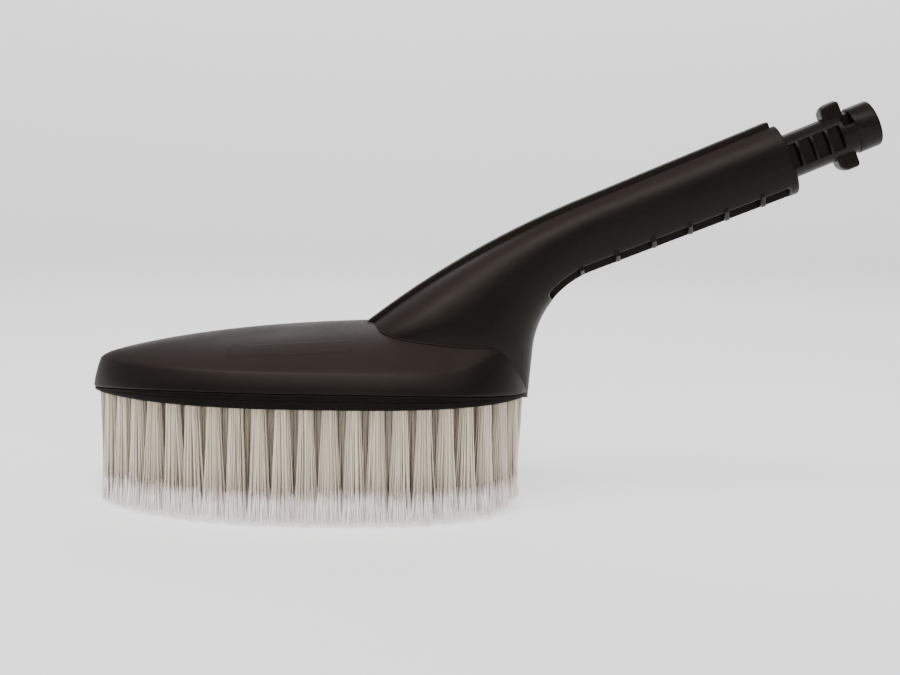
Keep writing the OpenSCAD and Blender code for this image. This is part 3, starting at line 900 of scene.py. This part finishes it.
class MouldingSettings(bpy.types.PropertyGroup):
    """Sizes and finish of the black mouldings."""

    crease_round: bpy.props.FloatProperty(
        name="Crease rounding", description="Share of the flange taken up by the rounded crease",
        default=0.11, min=0.05, max=0.5, subtype="FACTOR")
    skirt_gap: bpy.props.FloatProperty(
        name="Skirt gap", description="Height of the side walls' edges over the web's edge, in mm",
        default=4.0, min=2.0, max=6.0)
    bead_radius: bpy.props.FloatProperty(
        name="Foot bead", description="Radius of the bead round the handle's foot, in mm",
        default=0.5, min=0.1, max=1.0)
    colour: colour_property("Moulding", "Colour of the black moulding", (0.0034, 0.0026, 0.0021))
    # Worn is also the colour of the dust and painted top sheen on the spigot and the block.
    worn: colour_property("Worn places", "Colour of dusty, rubbed places", (0.01, 0.0082, 0.0072))
    # Lighter colour of faces that look up: dust and a painted top sheen.
    dust_and_sheen: colour_property("Dust and painted top sheen", "Colour of faces that look up", (0.021, 0.0152, 0.0135))
    spigot_colour: colour_property("Spigot", "Colour of the spigot", (0.003, 0.0025, 0.0021))
    block_colour: colour_property("Block", "Colour of the brush block", (0.0015, 0.0012, 0.001))
    gloss: bpy.props.FloatProperty(
        name="Roughness", description="Roughness of the moulding", default=0.4,
        min=0.1, max=0.9, subtype="FACTOR")


class BristleSettings(bpy.types.PropertyGroup):
    """Number, thickness and colours of the bristles."""

    per_tuft: bpy.props.IntProperty(
        name="Bristles in a tuft", description="Strands in each tuft", default=66, min=10, max=66)
    thickness: bpy.props.FloatProperty(
        name="Strand radius", description="Radius of a strand, in mm",
        default=0.21, min=0.1, max=0.4)
    root: colour_property("Root", "Colour at the block", (0.73, 0.6, 0.45))
    middle: colour_property("Middle", "Colour half way down", (0.74, 0.61, 0.47))
    tip: colour_property("Tip", "Colour of the frosted tips", (1.0, 0.95, 0.93))
    pink: colour_property("Warm tip", "Colour of the warmer frosted tips", (1.0, 0.87, 0.84))


class StageSettings(bpy.types.PropertyGroup):
    """Light and camera."""

    key: bpy.props.FloatProperty(
        name="Key light", description="Power of the large soft light",
        default=17.0, min=0.0, unit="POWER")
    fill: bpy.props.FloatProperty(
        name="Fill light", description="Power of the soft front light, which leaves no reflection",
        default=26.0, min=0.0, unit="POWER")
    world: bpy.props.FloatProperty(
        name="Surroundings", description="Strength of the white surroundings",
        default=0.34, min=0.0)
    lens: bpy.props.FloatProperty(
        name="Lens", description="Focal length of the camera, in mm", default=50.0, min=20.0)
    pitch: bpy.props.FloatProperty(
        name="Pitch", description="How far the camera looks down", default=np.radians(7.0),
        subtype="ANGLE")
    roll: bpy.props.FloatProperty(
        name="Roll", description="Turn of the camera about its own axis", default=np.radians(0.74),
        subtype="ANGLE")


# ---------- operators ----------


def black(context):
    m = context.scene.wash_brush_moulding
    name = "black moulded plastic"
    found = bpy.data.materials.get(name)
    return found or moulded_plastic(name, m.colour, m.worn, m.dust_and_sheen, m.gloss, 0.00006)


class WASHBRUSH_OT_head(bpy.types.Operator):
    """Builds the head cover, its plain panels and the handle"""

    bl_idname = "wash_brush.housing"
    bl_label = "Housing"

    def execute(self, context):
        m = context.scene.wash_brush_moulding
        plastic = black(context)
        piece("head_cover", [head_cover(m.crease_round)], plastic, ["housing"])
        panels = [name_panel(-1), name_panel(1)]
        piece("deck_panels", panels, plastic)
        piece("handle", [handle_body(m.skirt_gap)], plastic)
        piece("handle_ribs", [cross_rib(k) for k in range(6)], plastic)
        line = foot_bead()
        beads = [swept_tube(line * [1, side, 1], m.bead_radius) for side in (-1, 1)]
        piece("foot_beads", beads, plastic)
        return {"FINISHED"}


class WASHBRUSH_OT_cover(bpy.types.Operator):
    """Builds the strip over the water channel"""

    bl_idname = "wash_brush.channel_cover"
    bl_label = "Channel cover"

    def execute(self, context):
        m = context.scene.wash_brush_moulding
        plastic = moulded_plastic(
            "cover strip plastic", m.colour, m.worn, m.dust_and_sheen, m.gloss + 0.03, 0.00005)
        piece("channel_cover_strip", [cover_strip()], plastic, ["channel_cover"])
        return {"FINISHED"}


class WASHBRUSH_OT_spigot(bpy.types.Operator):
    """Builds the bayonet spigot with its pockets, lugs and bore"""

    bl_idname = "wash_brush.spigot"
    bl_label = "Bayonet spigot"

    def execute(self, context):
        m = context.scene.wash_brush_moulding
        # The worn colour serves both the rubbed places and the dust and painted top sheen on faces
        # that look up.
        plastic = moulded_plastic(
            "spigot plastic", m.spigot_colour, m.worn, m.worn, 0.34, 0.00003)
        solids = [spigot_body(), bayonet_lug(-1), bayonet_lug(1)]
        piece("spigot", solids, plastic, ["bayonet_spigot"])
        return {"FINISHED"}


class WASHBRUSH_OT_block(bpy.types.Operator):
    """Builds the brush block and gives the hidden parts their finishes"""

    bl_idname = "wash_brush.block"
    bl_label = "Brush block"

    def execute(self, context):
        m = context.scene.wash_brush_moulding
        # The worn colour serves both the rubbed places and the dust and painted top sheen on faces
        # that look up.
        plastic = moulded_plastic(
            "block plastic", m.block_colour, m.worn, m.worn, 0.55, 0.00008, 0.1)
        piece("bristle_block", [brush_block()], plastic, ["brush_block"])
        rubber = seal_rubber("seal rubber", (0.02, 0.02, 0.02))
        steel = brushed_steel("screw steel", (0.62, 0.62, 0.6), 0.3)
        wire = brushed_steel("anchor wire", (0.66, 0.65, 0.62), 0.35)
        finishes = {"block_gasket": rubber, "front_seal_ring": rubber, "rear_seal_ring": rubber,
                    "block_screws": steel}
        finishes.update({f"anchors_row_{row}": wire for row in range(1, 6)})
        for node, material in finishes.items():
            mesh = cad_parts[node].data
            mesh.materials.clear()
            mesh.materials.append(material)
        return {"FINISHED"}


class WASHBRUSH_OT_bristles(bpy.types.Operator):
    """Builds the five rows of bristles, strand by strand"""

    bl_idname = "wash_brush.bristles"
    bl_label = "Bristles"

    def execute(self, context):
        b = context.scene.wash_brush_bristles
        nylon = bristle_nylon("bristle nylon", b.root, b.middle, b.tip, b.pink)
        for row in range(1, 6):
            solids, tint = tuft_strands(row, b.per_tuft, b.thickness)
            obj = piece(f"bristles_row_{row}", solids, nylon,
                        [f"tufts_row_{row}"], sharp=None)
            strand = obj.data.attributes.new("strand", "FLOAT", "POINT")
            strand.data.foreach_set("value", tint.astype(np.float32))
        return {"FINISHED"}


class WASHBRUSH_OT_stage(bpy.types.Operator):
    """Builds the pale floor with its swept-up back, the lights and the camera"""

    bl_idname = "wash_brush.stage"
    bl_label = "Stage"

    def execute(self, context):
        st = context.scene.wash_brush_stage
        scene = context.scene
        world = bpy.data.worlds.new("surroundings")
        scene.world = world
        world.use_nodes = True
        world.node_tree.nodes["Background"].inputs["Color"].default_value = (1.0, 1.0, 1.0, 1.0)
        world.node_tree.nodes["Background"].inputs["Strength"].default_value = st.world
        self.floor()
        self.light("key", (-0.2, -0.62, 1.15), (0.0, 0.0, 0.06), (2.2, 0.4), st.key)
        self.light("rim", (0.1, 1.0, 0.9), (0.0, 0.0, 0.08), (1.4, 0.5), st.key * 0.25)
        fill = self.light("fill", (0.0, -1.4, 0.3), (0.0, 0.0, 0.03), (1.8, 0.8), st.fill)
        fill.visible_glossy = False
        camera = bpy.data.cameras.new("camera")
        camera.lens = st.lens
        camera.sensor_width = 36.0
        view = bpy.data.objects.new("camera", camera)
        scene.collection.objects.link(view)
        view.rotation_mode = "XYZ"
        turn = (
            Matrix.Rotation(np.pi / 2 - st.pitch, 4, "X") @ Matrix.Rotation(st.roll, 4, "Z")
        )
        view.matrix_world = Matrix.Translation((-0.0119, -0.4752, 0.123)) @ turn
        scene.camera = view
        return {"FINISHED"}

    def floor(self):
        """A floor that sweeps up behind in a quarter circle: straight, arc, straight. It glows as
        painted light, strong behind and faint in front.
        """
        a = np.linspace(0, np.pi / 2, 24)
        y = np.concatenate([[-3.0, -1.0, 0.0, 1.0], 1.8 + 0.6 * np.sin(a), [2.4]])
        z = np.concatenate([[0.0, 0.0, 0.0, 0.0], 0.6 * (1 - np.cos(a)), [0.68]])
        x = np.linspace(-3.5, 3.5, 15)
        points = np.stack(
            [np.tile(x, len(y)), np.repeat(y, len(x)), np.repeat(z, len(x))], -1
        )
        mesh = bpy.data.meshes.new("floor")
        mesh.from_pydata(points.tolist(), [], grid_faces(len(y), len(x), False).tolist())
        mesh.shade_smooth()
        f = Finish("pale floor")
        f.into("Base Color", f.mix(f.noise(3.0), (0.93, 0.93, 0.93), (0.9, 0.9, 0.9)))
        f.into("Roughness", 0.8)
        f.into("Specular IOR Level", 0.1)
        # Painted light: the floor glows, strongest behind the brush and fading toward the front.
        f.into("Emission Color", (1.0, 1.0, 1.0, 1.0))
        split = f.nodes.new("ShaderNodeSeparateXYZ")
        f.links.new(f.coords, split.inputs["Vector"])
        f.into("Emission Strength", f.ramp(split.outputs["Y"], -0.55, 0.1, 0.08, 0.8))
        mesh.materials.append(f.material)
        obj = bpy.data.objects.new("floor", mesh)
        bpy.context.scene.collection.objects.link(obj)

    def light(self, name, place, aim, size, power):
        data = bpy.data.lights.new(name, "AREA")
        data.shape = "ELLIPSE"
        data.size, data.size_y = size
        data.energy = power
        obj = bpy.data.objects.new(name, data)
        bpy.context.scene.collection.objects.link(obj)
        obj.location = place
        obj.rotation_euler = (Vector(aim) - Vector(place)).to_track_quat("-Z", "Y").to_euler()
        return obj


OPERATORS = (
    WASHBRUSH_OT_head,
    WASHBRUSH_OT_cover,
    WASHBRUSH_OT_spigot,
    WASHBRUSH_OT_block,
    WASHBRUSH_OT_bristles,
    WASHBRUSH_OT_stage,
)


class WASHBRUSH_PT_panel(bpy.types.Panel):
    """Lists the brush's parts and their settings"""

    bl_idname = "WASHBRUSH_PT_panel"
    bl_label = "Wash brush"
    bl_space_type = "VIEW_3D"
    bl_region_type = "UI"
    bl_category = "Wash brush"

    def draw(self, context):
        for name in ("moulding", "bristles", "stage"):
            settings = getattr(context.scene, f"wash_brush_{name}")
            box = self.layout.box()
            for key in type(settings).__annotations__:
                box.prop(settings, key)
        for operator in OPERATORS:
            self.layout.operator(operator.bl_idname)


SETTINGS = {
    "wash_brush_moulding": MouldingSettings,
    "wash_brush_bristles": BristleSettings,
    "wash_brush_stage": StageSettings,
}
CLASSES = (*SETTINGS.values(), *OPERATORS, WASHBRUSH_PT_panel)


def register():
    for cls in CLASSES:
        bpy.utils.register_class(cls)
    for name, cls in SETTINGS.items():
        setattr(bpy.types.Scene, name, bpy.props.PointerProperty(type=cls))


def unregister():
    for name in SETTINGS:
        delattr(bpy.types.Scene, name)
    for cls in reversed(CLASSES):
        bpy.utils.unregister_class(cls)


def main():
    """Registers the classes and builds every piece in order."""
    register()
    bpy.ops.wash_brush.housing()
    bpy.ops.wash_brush.channel_cover()
    bpy.ops.wash_brush.spigot()
    bpy.ops.wash_brush.block()
    bpy.ops.wash_brush.bristles()
    bpy.ops.wash_brush.stage()


if __name__ == "__main__":
    main()
